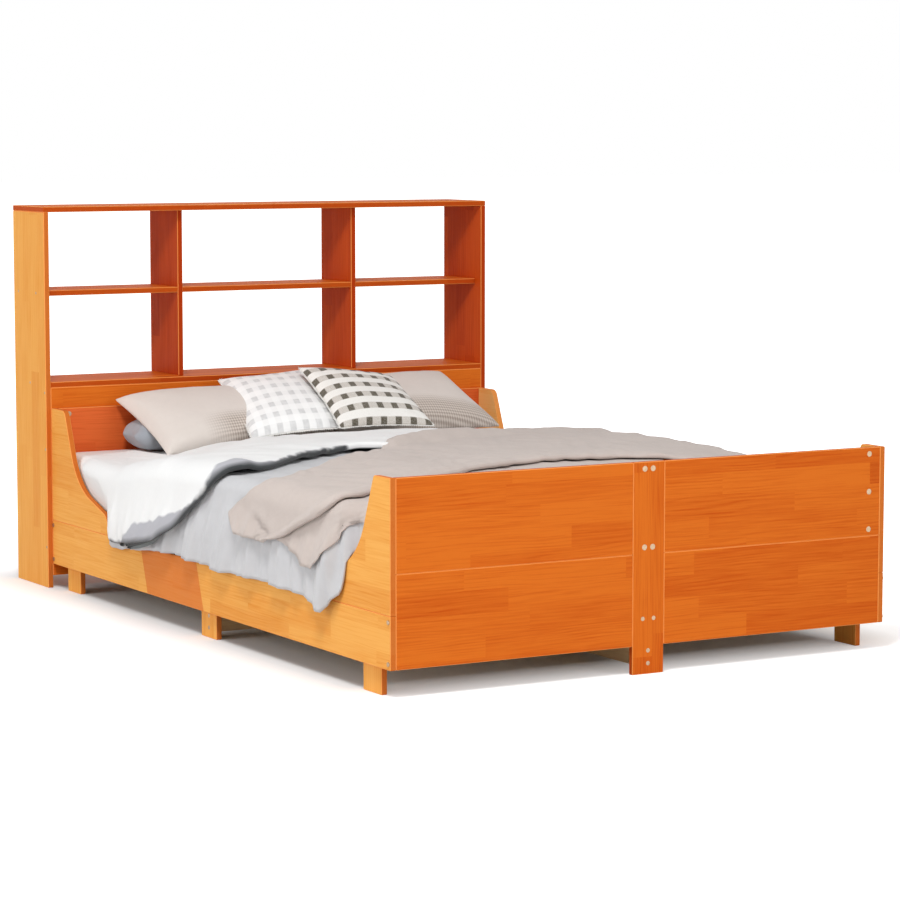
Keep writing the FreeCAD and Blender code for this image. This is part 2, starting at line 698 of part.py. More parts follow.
# The throw lies double: its upper layer starts on a slanting edge that runs from the right side
# to the left one and ends in a fold across the bed. Stations hold the distance, the height of
# what it lies on, its thickness, the low edge at the side and its edge on the top.
THROW_SLANT = (
    (600, 455, 12, 334, 545), (612, 455, 12, 330, 436), (667, 455, 12, 322, 334), (689, 456, 12, 318, 255),
    (724, 456, 12, 314, 136), (832, 457, 12, 305, -22), (911, 457, 12, 300, -128), (1004, 458, 12, 298, -241),
    (1126, 459, 12, 298, -385), (1204, 459, 12, 298, -467), (1290, 460, 12, 302, -570),
    (1335, 460, 12, 306, -612),
)
THROW_BODY = (
    (1335, 460, 12, 328), (1360, 460, 12, 308), (1443, 460, 12, 309), (1530, 460, 13, 302),
    (1585, 460, 14, 296), (1600, 460, 6, 294), (1641, 459, 6, 284), (1676, 458, 6, 275), (1704, 458, 6, 273),
    (1760, 457, 6, 304), (1806, 456, 6, 332),
)
THROW_FOOT = ((1806, 456, 6, 690), (1900, 452, 6, 690), (2006, 449, 6, 686))
throw_slant = faceted_loft([layer_section(distance, (top, thick, (edge,)), (top, thick, low))
                            for distance, top, thick, low, edge in THROW_SLANT])
throw_body = faceted_loft([layer_section(distance, (top, thick, low), (top, thick, low))
                           for distance, top, thick, low in THROW_BODY])
throw_foot = faceted_loft([layer_section(distance, (top, thick, (-edge,)), (top, thick, (edge,)))
                           for distance, top, thick, edge in THROW_FOOT])
soft("throw", throw_slant.fuse([throw_body, throw_foot]).removeSplitter())

# ---------------------------------------------------------------- check and write

doc.recompute()
for thing in doc.Objects:
    if "Invalid" in thing.State or "Error" in thing.State:
        raise RuntimeError(f"{thing.Label}: {thing.State}")
os.makedirs("parts", exist_ok=True)
for thing in nodes:
    if thing.Shape.isNull() or not thing.Shape.isValid():
        raise RuntimeError(f"{thing.Label} has no valid shape")
    thing.Shape.exportStep(f"parts/{thing.Label}.step")
print(len(nodes), "nodes written")
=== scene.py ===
import math
import bmesh
import bpy
from mathutils import Matrix, Vector, noise

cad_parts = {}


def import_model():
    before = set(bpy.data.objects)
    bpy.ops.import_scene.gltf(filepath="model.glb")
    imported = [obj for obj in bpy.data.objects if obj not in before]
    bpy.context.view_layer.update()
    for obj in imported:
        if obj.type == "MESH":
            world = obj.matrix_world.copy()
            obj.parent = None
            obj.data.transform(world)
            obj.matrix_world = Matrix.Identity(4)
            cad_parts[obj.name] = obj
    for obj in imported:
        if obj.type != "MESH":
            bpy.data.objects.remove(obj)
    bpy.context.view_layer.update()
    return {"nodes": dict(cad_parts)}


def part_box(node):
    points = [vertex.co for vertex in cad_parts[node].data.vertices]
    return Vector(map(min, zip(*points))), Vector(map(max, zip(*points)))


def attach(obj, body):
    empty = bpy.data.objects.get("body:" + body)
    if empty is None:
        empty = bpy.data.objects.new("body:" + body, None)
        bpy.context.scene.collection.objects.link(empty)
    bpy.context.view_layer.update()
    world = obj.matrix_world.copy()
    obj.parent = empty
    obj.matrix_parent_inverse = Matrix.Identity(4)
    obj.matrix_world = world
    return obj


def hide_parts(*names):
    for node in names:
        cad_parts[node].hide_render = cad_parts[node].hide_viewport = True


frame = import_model()
boards = frame["nodes"]

# The bed stands with its foot end towards -Y and its bookcase towards +Y. Everything is in
# metres. A distance d in the bedding runs from the bookcase's front plane towards the foot.
CASE_Y = 0.913          # the bookcase's front plane


# ------------------------------------------------------------------ materials

def srgb(red, green, blue):
    """A colour written as 0 to 255, as the shader wants it."""
    def linear(value):
        value /= 255
        return value / 12.92 if value <= 0.04045 else ((value + 0.055) / 1.055) ** 2.4
    return (linear(red), linear(green), linear(blue), 1.0)


class Finish:
    """A material whose nodes are added one by one, each fed by values or by other nodes."""

    def __init__(self, name, roughness=0.5, **sockets):
        self.material = bpy.data.materials.new(name)
        self.material.use_nodes = True
        self.tree = self.material.node_tree
        self.shader = self.tree.nodes["Principled BSDF"]
        self.shader.inputs["Roughness"].default_value = roughness
        for socket, value in sockets.items():
            self.shader.inputs[socket.replace("_", " ")].default_value = value

    @classmethod
    def resume(cls, material):
        """Goes on with a material that is already made."""
        finish = cls.__new__(cls)
        finish.material = material
        finish.tree = material.node_tree
        finish.shader = finish.tree.nodes["Principled BSDF"]
        return finish

    def put(self, socket, value):
        if isinstance(value, bpy.types.NodeSocket):
            self.tree.links.new(value, socket)
        else:
            socket.default_value = value

    def add(self, kind, inputs=(), **settings):
        node = self.tree.nodes.new("ShaderNode" + kind)
        for key, value in settings.items():
            setattr(node, key, value)
        for key, value in dict(inputs).items():
            self.put(node.inputs[key], value)
        return node

    def math(self, operation, first, second=0.0):
        return self.add("Math", {0: first, 1: second}, operation=operation).outputs[0]

    def wave(self, place, pitch, operation="SINE"):
        return self.math(operation, self.math("MULTIPLY", place, 2 * math.pi / pitch))

    def place(self, name="Object"):
        return self.add("TexCoord").outputs[name]

    def cut(self):
        """The place on the cloth before it was laid or filled, in metres."""
        return self.split(self.add("UVMap", uv_map="cut").outputs[0])

    def split(self, vector):
        return self.add("SeparateXYZ", {0: vector}).outputs

    def join(self, x, y, z=0.0):
        return self.add("CombineXYZ", {0: x, 1: y, 2: z}).outputs[0]

    def noise(self, vector, scale=1.0, detail=3.0, rough=0.55):
        node = self.add("TexNoise", {"Vector": vector, "Scale": scale, "Detail": detail,
                                     "Roughness": rough})
        return node.outputs["Fac"]

    def chance(self, vector):
        return self.add("TexWhiteNoise", {"Vector": vector}).outputs["Value"]

    def ramp(self, value, low, high, start=0.0, end=1.0):
        return self.add("MapRange", {"Value": value, "From Min": low, "From Max": high,
                                     "To Min": start, "To Max": end}).outputs["Result"]

    def mix(self, share, first, second, blend="MIX"):
        node = self.add("Mix", data_type="RGBA", blend_type=blend)
        self.put(node.inputs[0], share)
        self.put(node.inputs[6], first)
        self.put(node.inputs[7], second)
        return node.outputs[2]

    def colour(self, value):
        self.put(self.shader.inputs["Base Color"], value)

    def rough(self, value):
        self.put(self.shader.inputs["Roughness"], value)

    def bump(self, height, strength, distance):
        node = self.add("Bump", {"Height": height, "Strength": strength, "Distance": distance})
        self.put(self.shader.inputs["Normal"], node.outputs[0])


GLUED_STRIP = 0.055     # width of a strip in a glued board
JOINTED_PIECE = 0.46    # length of wood between two finger joints
JOINT_LEAN = 0.35       # how far the ends of a darker stretch lean, per metre of width
# Light wood, late wood and edge of each stain; the edge tone is painted shade on a board's
# narrow faces and also the tone of its rare darker pieces. The first tone below is a painted
# highlight on the chamfered rounding of an edge, and "soaked" a stretch that took more stain.
PINE_TONES = {
    "chamfer_highlight": srgb(240, 156, 84),
    "soaked": srgb(208, 90, 30),
    "orange": (srgb(218, 112, 32), srgb(192, 76, 12), srgb(176, 62, 10)),
    "deep": (srgb(204, 82, 18), srgb(176, 56, 6), srgb(168, 50, 6)),
    "red": (srgb(222, 106, 52), srgb(196, 80, 32), srgb(184, 66, 20)),
    # Painted light: a lighter copy of honey that lights up the right head wing's inner face.
    "pale": (srgb(255, 206, 128), srgb(248, 184, 96), srgb(216, 118, 44)),
    # Painted light: a lighter, yellower copy of the orange stain for the light that falls on the
    # broad faces of boards that look sideways.
    "honey": (srgb(240, 174, 88), srgb(224, 142, 56), srgb(192, 82, 20)),
    "plain": (srgb(232, 204, 160), srgb(214, 178, 128), srgb(206, 170, 120)),
}


def pine(name, grain, wide, tone, seed, darker=None):
    """Edge-glued pine: strips side by side, finger-jointed end to end, stained and waxed.

    grain and wide are the axes, 0 to 2, of the board's length and of the strips' width. darker is
    the stretch, start and end along the grain, of a piece that took the stain more deeply.
    """
    light, dark, edge = PINE_TONES[tone]
    finish = Finish(name, Specular_IOR_Level=0.05)
    place = finish.split(finish.place())
    along = finish.math("ADD", place[grain], seed * 0.731)
    across = finish.math("ADD", place[wide], seed * 0.173)
    deep = place[3 - grain - wide]
    row = finish.math("FLOOR", finish.math("DIVIDE", across, GLUED_STRIP))
    stagger = finish.chance(finish.join(row, seed))
    run = finish.math("ADD", finish.math("DIVIDE", along, JOINTED_PIECE),
                      finish.math("MULTIPLY", stagger, 3.0))
    piece = finish.chance(finish.join(row, finish.math("FLOOR", run), seed + 0.5))
    apart = finish.math("MULTIPLY", piece, 9.0)

    def figure(lengthwise, crosswise, **detail):
        """Noise drawn out along the grain and different in each jointed piece."""
        return finish.noise(finish.join(finish.math("MULTIPLY", along, lengthwise),
                                        finish.math("ADD", apart,
                                                    finish.math("MULTIPLY", across, crosswise)),
                                        finish.math("MULTIPLY", deep, crosswise)), **detail)
    slow = figure(1.3, 9.0, detail=3.0, rough=0.45)
    rings = finish.math("SINE", finish.math("ADD", finish.math("MULTIPLY", across, 620.0),
                                            finish.math("MULTIPLY", slow, 58.0)))
    streaks = figure(7.0, 230.0, detail=4.0, rough=0.6)
    patches = finish.noise(finish.join(along, finish.math("MULTIPLY", across, 7.0), apart), 3.0)
    fade = finish.ramp(patches, 0.35, 0.65)
    ringed = finish.math("MULTIPLY", finish.ramp(rings, 0.3, 1.0, 0.0, 0.36), fade)
    late = finish.math("ADD", ringed, finish.ramp(streaks, 0.40, 0.72, 0.0, 0.5))
    share = finish.math("ADD", late, finish.ramp(slow, 0.3, 0.7, -0.1, 0.2))
    share = finish.math("ADD", share, finish.ramp(piece, 0.0, 1.0, -0.2, 0.26))
    wood = finish.mix(finish.math("MINIMUM", finish.math("MAXIMUM", share, 0.0), 1.0), light, dark)
    rare = finish.math("GREATER_THAN", piece, 0.9)
    dark_pieces = 0.28 if tone == "orange" else 0.06
    wood = finish.mix(finish.math("MULTIPLY", rare, dark_pieces), wood, edge)
    if darker:
        start, end = sorted(darker)
        slant = finish.math("ADD", place[grain], finish.math("MULTIPLY", place[wide], -JOINT_LEAN))
        stretch = finish.math("MULTIPLY", finish.math("GREATER_THAN", slant, start),
                              finish.math("LESS_THAN", slant, end))
        wood = finish.mix(finish.math("MULTIPLY", stretch, 0.6), wood, PINE_TONES["soaked"])
    facing = finish.split(finish.place("Normal"))
    flat = finish.math("ABSOLUTE", facing[3 - grain - wide])
    # Painted shade: the narrow faces, square to the broad ones, take three quarters of the edge
    # tone.
    wood = finish.mix(finish.math("MULTIPLY", finish.ramp(flat, 0.5, 0.3), 0.75), wood, edge)
    # Painted highlight: the chamfers, whose normals lean half way off the broad face, take a light
    # tone.
    chamfer_highlight = finish.math("MULTIPLY", finish.ramp(flat, 0.55, 0.62), finish.ramp(flat, 0.86, 0.8))
    wood = finish.mix(finish.math("MULTIPLY", chamfer_highlight, 0.85), wood, PINE_TONES["chamfer_highlight"])
    finish.colour(wood)
    finish.rough(finish.ramp(streaks, 0.3, 0.7, 0.46, 0.58))
    finish.bump(late, 0.16, 0.0006)
    return finish.material


def zinc():
    finish = Finish("zinc_plate", Metallic=1.0)
    cloud = finish.noise(finish.place(), scale=420.0, detail=3.0)
    finish.colour(finish.mix(cloud, srgb(196, 172, 144), srgb(150, 126, 100)))
    finish.rough(finish.ramp(cloud, 0.3, 0.7, 0.36, 0.55))
    finish.bump(cloud, 0.1, 0.0003)
    return finish.material


def dress(node, material):
    slots = boards[node].data.materials
    slots.clear()
    slots.append(material)


X, Y, Z = 0, 1, 2
# Grain, way across the strips and stain, by how a board's name starts.
# The honey tone of boards whose broad faces look sideways is painted light on those faces.
WOOD = {
    "bookcase_side_left": (Z, Y, "honey"), "bookcase_side_right": (Z, Y, "deep"),
    "bookcase_top": (X, Y, "orange"), "bookcase_divider": (Z, Y, "deep"),
    "bookcase_shelf": (X, Y, "orange"),
    "bookcase_low_shelf": (X, Y, "orange"), "bookcase_front_panel": (X, Z, "orange"),
    # The right head wing's pale tone is painted light on its inner face.
    "side_rail": (Y, Z, "honey"), "head_wing_right": (Y, Z, "pale"), "head_wing": (Y, Z, "honey"),
    "foot_wing": (Y, Z, "honey"),
    "footboard_upper": (X, Z, "orange"), "footboard_lower": (X, Z, "orange"),
    "headboard_upper": (X, Z, "red"), "headboard_lower": (X, Z, "red"),
    "footboard_post": (Z, X, "orange"), "headboard_post": (Z, X, "orange"),
    "foot_leg": (Z, Y, "honey"), "middle_leg": (Z, Y, "honey"), "head_leg": (Z, Y, "honey"),
    "side_ledger": (Y, Z, "plain"), "centre_beam": (Y, Z, "plain"), "cross_board": (X, Z, "plain"),
    "centre_ledger": (Y, Z, "plain"), "centre_leg": (Z, Y, "plain"), "slats": (X, Y, "plain"),
    "dowels": (Z, X, "plain"),
}
FITTINGS = ("cam_locks", "cam_pins", "corner_bolts", "barrel_nuts", "base_bolts", "bookcase_screws")
DARKER = {"side_rail_left": (-0.145, 0.215), "side_rail_right": (0.30, 0.72)}
metal = zinc()
for count, node in enumerate(sorted(boards)):
    kinds = [kind for kind in WOOD if node.startswith(kind)]
    if kinds:
        grain, wide, tone = WOOD[kinds[0]]
        dress(node, pine("pine_" + node, grain, wide, tone, float(count), DARKER.get(node)))
    elif node in FITTINGS:
        dress(node, metal)

# ------------------------------------------------------------------ bedding cloth

def between(table, value):
    """Straight-line reading of a table of (place, number) pairs."""
    if value <= table[0][0]:
        return table[0][1]
    for (low, first), (high, second) in zip(table, table[1:]):
        if value <= high:
            return first + (second - first) * (value - low) / (high - low)
    return table[-1][1]


def ease(low, high, value):
    share = min(1.0, max(0.0, (value - low) / (high - low)))
    return share * share * (3 - 2 * share)


def ripple(x, y, size, seed=0.0):
    return noise.noise(Vector((x / size, y / size, seed)))


FLAT = 0.700            # half the width that lies on the mattress
SHOULDER = 0.036        # radius over the mattress edge
EDGE_OF_BED = FLAT + SHOULDER * math.pi / 2     # way across at which the cloth hangs straight
HANGS_FROM = 0.37       # height at which it does, near enough
INSIDE_WING = 0.7035    # where cloth hangs between the mattress and a wing
OVER_RAIL = 0.0335      # how much further out it hangs outside a rail
QUILT = 0.030           # how far the turned-back part rises over the duvet
WING_ROOM = 0.005       # room for cloth between the mattress and a wing
SPREAD = 0.058          # how far the hanging cloth may stand out from the rail
DUVET_HEAD = 0.40       # where the duvet's lower layer starts, under the turned-back part
DUVET_RUN = 1.61        # how far it runs from there to the foot

# Height of the head wings' top edge, by distance from the bookcase.
HEAD_WING = ((0.0, 0.529), (0.097, 0.529), (0.150, 0.398), (0.180, 0.345), (0.230, 0.308),
             (0.300, 0.284), (0.370, 0.262), (0.404, 0.235))
# Lowest edge of each hanging side, by distance from the bookcase.
DUVET_HEM = ((0.10, 0.24), (0.30, 0.225), (0.414, 0.215), (0.432, 0.180), (0.514, 0.178),
             (0.60, 0.186), (0.69, 0.196), (0.88, 0.208), (1.024, 0.203), (1.167, 0.196),
             (1.298, 0.202), (1.439, 0.203), (1.58, 0.200), (1.659, 0.190), (1.754, 0.170),
             (1.785, 0.198), (1.825, 0.222), (1.842, 0.262), (1.850, 0.31), (1.863, 0.335),
             (2.02, 0.34))
# Free edge of the turned-back part: distance from the bookcase by place across the cloth. The
# stretch at the left is where its roll shows.
TURNED_CORNER = ((-0.937, 0.620), (-0.930, 0.730), (-0.920, 0.820), (-0.869, 0.945),
                 (-0.781, 1.092), (-0.728, 1.165), (-0.660, 1.170), (-0.598, 1.150),
                 (-0.540, 1.120), (-0.482, 1.065), (-0.343, 0.955), (-0.230, 0.895))
TURNED_EDGE = TURNED_CORNER + ((-0.18, 0.895), (-0.10, 0.94), (0.05, 0.88), (0.25, 0.82),
                               (0.44, 0.76), (0.99, 0.74))
TURNED_LEFT, TURNED_RIGHT = 0.937, 0.950        # how far it reaches across at either side
TURNED_START = 0.365    # where it starts, under the pillows
# Head edge and folded foot edge of the throw's upper layer.
THROW_HEAD = ((-0.86, 1.300), (-0.835, 1.255), (-0.805, 1.245), (-0.775, 1.283), (-0.752, 1.335),
              (-0.725, 1.385), (-0.69, 1.395), (-0.649, 1.370), (-0.570, 1.290), (-0.467, 1.204),
              (-0.385, 1.126), (-0.241, 1.008), (-0.128, 0.925), (-0.022, 0.856), (0.136, 0.765),
              (0.255, 0.730), (0.334, 0.705), (0.436, 0.655), (0.60, 0.640), (0.70, 0.68),
              (0.88, 0.76))
THROW_FOLD = ((-0.86, 1.462), (-0.845, 1.476), (-0.836, 1.540), (-0.812, 1.605), (-0.773, 1.709),
              (-0.735, 1.800), (-0.686, 1.826), (-0.468, 1.692), (-0.308, 1.598), (-0.202, 1.533),
              (0.009, 1.443), (0.164, 1.434), (0.307, 1.457), (0.415, 1.527), (0.484, 1.578),
              (0.60, 1.640), (0.88, 1.70))
# Foot edge of the throw's lower layer, which turns up where it hangs at the sides.
THROW_END = ((-0.900, 1.690), (-0.835, 1.806), (-0.791, 1.850), (-0.772, 1.881), (-0.745, 1.938),
             (-0.715, 2.006), (0.715, 2.006), (0.745, 1.938), (0.80, 1.84), (0.88, 1.74))
THROW_RIGHT = 0.87      # how far the throw reaches across at the right
THROW_UPPER, THROW_LOWER = 0.42, 0.48   # shares of the throw's length in its two outer layers
UNDER_FOLD = 0.55       # how far the middle layer runs back, as a share of the upper one


def crown(x, d):
    """Height of the duvet's upper face where it lies on the mattress."""
    low = ease(-0.28, -0.62, x) * ease(0.98, 0.45, d)
    height = 0.444 - 0.038 * low
    height += 0.010 * ease(0.4, 1.1, d)
    height -= 0.008 * ease(0.35, 0.70, abs(x)) + 0.010 * ease(1.86, 2.02, d)
    height -= 0.006 * ease(0.95, 0.45, d) * ease(0.25, 0.66, x)
    roll = math.exp(-((d - 0.51) / 0.06) ** 2) * ease(-0.45, -0.30, x) * ease(0.50, 0.35, x)
    height += 0.010 * roll
    height -= 0.014 * ease(1.25, 1.60, d) * ease(0.30, 0.68, x)
    height += 0.005 * ripple(x, d, 0.21, 3.0)
    height -= 0.007 * abs(ripple(x * 0.35 + d * 0.12, d * 0.55 - x * 0.75, 0.075, 8.0))
    return height


def side_plane(d, height=HANGS_FROM):
    """How far out the cloth hangs, and how far it is past the wings, from 0 to 1.

    It hangs inside the wings at both ends and outside the rails between them.
    """
    over_wing = ease(0.0, 0.11, height - between(HEAD_WING, d))
    out = max(over_wing, ease(0.416, 0.436, d)) * ease(1.874, 1.842, d)
    return INSIDE_WING + OVER_RAIL * out, out


def swell(s, d, drop):
    """The hanging cloth's folds: ridges that lean towards the head as they fall, deeper below."""
    depth = ease(-0.01, 0.13, drop)
    lean = d + 0.42 * drop * ease(1.75, 1.05, d) + (0.31 if s > 0 else 0.0)
    wave = 0.5 + 0.5 * math.sin(lean * 37 + 3.4 * ripple(lean, 0.0, 0.33, 5.0))
    fine = abs(math.sin(lean * 52 + 3.0 * ripple(lean, drop, 0.25, 14.0)))
    small = abs(ripple(lean, drop * 0.25, 0.036, 11.0))
    folds = 0.015 * wave ** 2 + 0.008 * (1 - fine) + 0.010 * small
    corner = (d - 1.72 - 0.34 * (0.27 - drop)) / 0.030
    gather = math.exp(-corner * corner) - 0.9 * ease(0.2, 1.6, corner)
    return (depth * folds + 0.014 * gather * ease(0.0, 0.08, drop)) * ease(0.42, 0.52, d)


def lie(s, d, lift=0.0):
    """A point of cloth that lies over the bed.

    s is the way across from the middle, over the shoulder and down the side; d is the distance
    from the bookcase and lift the height over the duvet's face, measured square to it.
    """
    side = -1.0 if s < 0 else 1.0
    plane, out = side_plane(d)
    reach = abs(s)
    x = min(reach, FLAT) / FLAT * (plane - SHOULDER)
    top = crown(side * x, d)
    if reach <= FLAT:
        return Vector((side * x, CASE_Y - d, top + lift))
    centre_x = plane - SHOULDER
    centre_z = top - SHOULDER
    if reach <= EDGE_OF_BED:
        beside = lift * out + min(lift, WING_ROOM) * (1 - out)
        turn = (reach - FLAT) / SHOULDER
        return Vector((side * (centre_x + (SHOULDER + beside) * math.sin(turn)), CASE_Y - d,
                       centre_z + (SHOULDER + lift) * math.cos(turn)))
    drop = reach - EDGE_OF_BED
    plane, out = side_plane(d, HANGS_FROM - drop)
    beside = lift * out + min(lift, WING_ROOM) * (1 - out)
    stands = beside + max(0.0, swell(s, d, drop)) * out
    hung_at = plane + SPREAD * math.tanh(stands / SPREAD)
    return Vector((side * hung_at, CASE_Y - d, centre_z - drop))


def hem_height(d):
    """Height of the duvet's lowest edge."""
    return between(DUVET_HEM, d) + 0.004 * ripple(d, 0.0, 0.05, 31.0)


def hang_reach(side, d, low):
    """The way across at which a side, -1 or 1, hangs down to the height low."""
    plane = side_plane(d)[0]
    top = crown(side * (plane - SHOULDER), d)
    return EDGE_OF_BED + max(0.002, top - SHOULDER - low)


def hemmed(s, d, above, full):
    """s, with a side that would hang to the place full drawn up to just above the duvet's hem."""
    reach = hang_reach(math.copysign(1, s), d, hem_height(d) + above)
    drawn = min(1.0, (reach - EDGE_OF_BED) / (full - EDGE_OF_BED))
    hanging = max(0.0, abs(s) - EDGE_OF_BED) * drawn
    return math.copysign(min(abs(s), EDGE_OF_BED) + hanging, s)


def piece(name, bm, material):
    mesh = bpy.data.meshes.new(name)
    bm.to_mesh(mesh)
    bm.free()
    thing = bpy.data.objects.new(name, mesh)
    bpy.context.scene.collection.objects.link(thing)
    mesh.materials.append(material)
    mesh.shade_smooth()
    return thing


def cloth(name, across, along, lay, material, width, length, thickness, rounds=0):
    """A sheet from a grid whose points lay puts over the bed; lay takes shares from 0 to 1.

    lay gives a point, and may give with it the point's place in the map called edge.
    """
    bm = bmesh.new()
    cut = bm.loops.layers.uv.new("cut")
    edge = bm.loops.layers.uv.new("edge")
    bmesh.ops.create_grid(bm, x_segments=across, y_segments=along, size=0.5)
    places = {}
    for face in bm.faces:
        for loop in face.loops:
            loop[cut].uv = ((loop.vert.co.x + 0.5) * width, (loop.vert.co.y + 0.5) * length)
    for vert in bm.verts:
        laid = lay(vert.co.x + 0.5, vert.co.y + 0.5)
        vert.co, places[vert] = laid if isinstance(laid, tuple) else (laid, (1.0, 0.0))
    for face in bm.faces:
        for loop in face.loops:
            loop[edge].uv = places[loop.vert]
    bmesh.ops.recalc_face_normals(bm, faces=bm.faces)
    above_bed = Vector((0, 0, 1))
    middle = min(bm.faces, key=lambda face: (face.calc_center_median() - above_bed).length)
    if middle.normal.z < 0:
        bmesh.ops.reverse_faces(bm, faces=bm.faces)
    thing = piece(name, bm, material)
    body = thing.modifiers.new("thickness", "SOLIDIFY")
    body.thickness = thickness
    body.offset = -1.0
    if rounds:
        soft = thing.modifiers.new("soften", "SUBSURF")
        soft.levels = soft.render_levels = rounds
    return thing


def cotton(name, light, shade, thread=0.0016, fold_tint=0.12):
    finish = Finish(name, 0.86, Sheen_Weight=0.18, Sheen_Roughness=0.5, Specular_IOR_Level=0.22)
    place = finish.cut()
    weave = finish.math("MULTIPLY", finish.wave(place[0], thread), finish.wave(place[1], thread))
    cloud = finish.noise(finish.place(), scale=5.0, detail=3.0)
    slub = finish.noise(finish.place(), scale=60.0, detail=2.0)
    tone = finish.math("ADD", finish.ramp(cloud, 0.3, 0.7, 0.0, fold_tint),
                       finish.ramp(slub, 0.3, 0.7, 0.0, 0.06))
    tone = finish.math("ADD", tone, finish.ramp(weave, -1, 1, 0.08, 0.0))
    finish.colour(finish.mix(tone, light, shade))
    crease = finish.noise(finish.place(), scale=22.0, detail=3.0)
    height = finish.math("ADD", weave, finish.math("MULTIPLY", slub, 1.5))
    finish.bump(finish.math("ADD", height, finish.math("MULTIPLY", crease, 9.0)), 0.22, 0.0006)
    return finish.material


white_cotton = cotton("white_cotton", srgb(248, 248, 247), srgb(218, 220, 222))
grey_cotton = cotton("grey_cotton", srgb(206, 206, 208), srgb(158, 160, 165))
# The duvet's grey outer cloth, darkened well below grey_cotton: partly its own grey, partly painted
# shade for the turned-back part's rim and underside.
grey_rim_painted_shade = cotton("grey_rim_painted_shade", srgb(128, 132, 132), srgb(84, 88, 88))
taupe_cloth = cotton("taupe_cloth", srgb(204, 192, 185), srgb(162, 148, 141), thread=0.0022)


def turned_cotton():
    """White, with the grey outer cloth rolled over its free edge."""
    material = cotton("turned_cotton", srgb(244, 244, 243), srgb(216, 218, 220))
    finish = Finish.resume(material)
    edge = finish.split(finish.add("UVMap", uv_map="edge").outputs[0])
    cloud = finish.noise(finish.place(), scale=22.0, detail=1.0)
    ragged = finish.ramp(cloud, 0.3, 0.7, -0.006, 0.006)
    inside = finish.math("ADD", finish.math("SUBTRACT", edge[0], edge[1]), ragged)
    white = finish.shader.inputs["Base Color"].links[0].from_socket
    # Painted shadow line: the rolled grey cloth is nearly black within 2 mm of the free edge and
    # eases to grey by 22 mm.
    rolled = finish.mix(finish.ramp(edge[0], 0.002, 0.022), srgb(66, 69, 70), srgb(182, 182, 188))
    finish.colour(finish.mix(finish.ramp(inside, 0.0, 0.010), rolled, white))
    return material


def duvet():
    def lay(u, v):
        d = DUVET_HEAD + v * DUVET_RUN
        left, right = hang_reach(-1, d, hem_height(d)), hang_reach(1, d, hem_height(d))
        return lie(-left + u * (left + right), d)
    body = cloth("duvet_body", 210, 170, lay, grey_cotton, 2.0, 1.6, 0.005)
    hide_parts("duvet")
    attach(body, "root")
    return body


def from_edge(s, d, table):
    """The shortest way in (s, d) from a place to the edge that the table draws."""
    place = Vector((s, d))
    ends = [Vector(point) for point in table]
    ways = []
    for start, end in zip(ends, ends[1:]):
        run = end - start
        share = min(1.0, max(0.0, (place - start).dot(run) / run.length_squared))
        ways.append((start + run * share - place).length)
    return min(ways)


def turned_part():
    """The head of the duvet turned back, with its white inside up and a thick rolled edge."""
    def lay(u, v):
        s = -TURNED_LEFT + u * (TURNED_LEFT + TURNED_RIGHT)
        end, broad = between(TURNED_EDGE, s), between(TURNED_EDGE, max(s, -0.90))
        start = TURNED_START - 0.235 * ease(-0.50, -0.56, s) - 0.055 * ease(0.66, 0.72, s)
        share = v * v * 0.25 + v * 0.75
        d = start + share * (broad - start) + share ** 3 * (end - broad)
        above, full = (0.014, TURNED_LEFT) if s < 0 else (0.0, TURNED_RIGHT)
        lying = hemmed(s, d, above, full)
        to_hem = abs(hemmed(math.copysign(full, s), d, above, full)) - abs(lying)
        way = min(from_edge(s, d, TURNED_CORNER), max(0.0, to_hem))
        thick = 0.003 + (quilt(s) - 0.003) * ease(0.36, 0.66, d)
        hung = ease(-0.76, -0.88, s)
        round_off = 1 - (1 - min(1.0, way / 0.05)) ** 2
        lift = thick * (0.62 + 0.38 * math.sqrt(round_off))
        fluffed = 0.014 * ease(0.11, 0.0, way) + 0.006 * ripple(d, s, 0.06, 41.0)
        lift += hung * ease(0.50, 0.66, d) * fluffed
        ridge = math.exp(-((s + 0.66) / 0.035) ** 2) * ease(0.30, 0.05, end - d)
        lift += 0.008 * ridge * ease(0.7, 0.9, d)
        lift += 0.006 * ripple(s * 0.7 + d * 0.7, s - d, 0.16, 44.0) * ease(0.45, 0.60, d)
        opened = math.exp(-((s + 0.675) / 0.045) ** 2)
        rolled = ease(0.58, 0.70, d) * ease(1.04, 0.90, d) * hung
        band = 0.006 + 0.050 * rolled + 0.060 * opened
        return lie(lying, d, lift), (way, band)
    part = cloth("duvet_turned_back", 160, 84, lay, turned_cotton(), 2.0, 0.7, 0.018, 1)
    # Its rim and underside take the grey cloth with painted shade.
    part.data.materials.append(grey_rim_painted_shade)
    part.modifiers["thickness"].material_offset = 1
    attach(part, "root")
    return part


def quilt(s):
    """How far the turned-back part rises over the duvet; it lies flatter at the right."""
    return QUILT * (1 - 0.75 * ease(0.0, 0.5, s))


def over_turned(s, d):
    """How much the turned-back part lifts what lies over it."""
    return (quilt(s) + 0.002) * ease(-0.03, 0.05, between(TURNED_EDGE, s) - d)


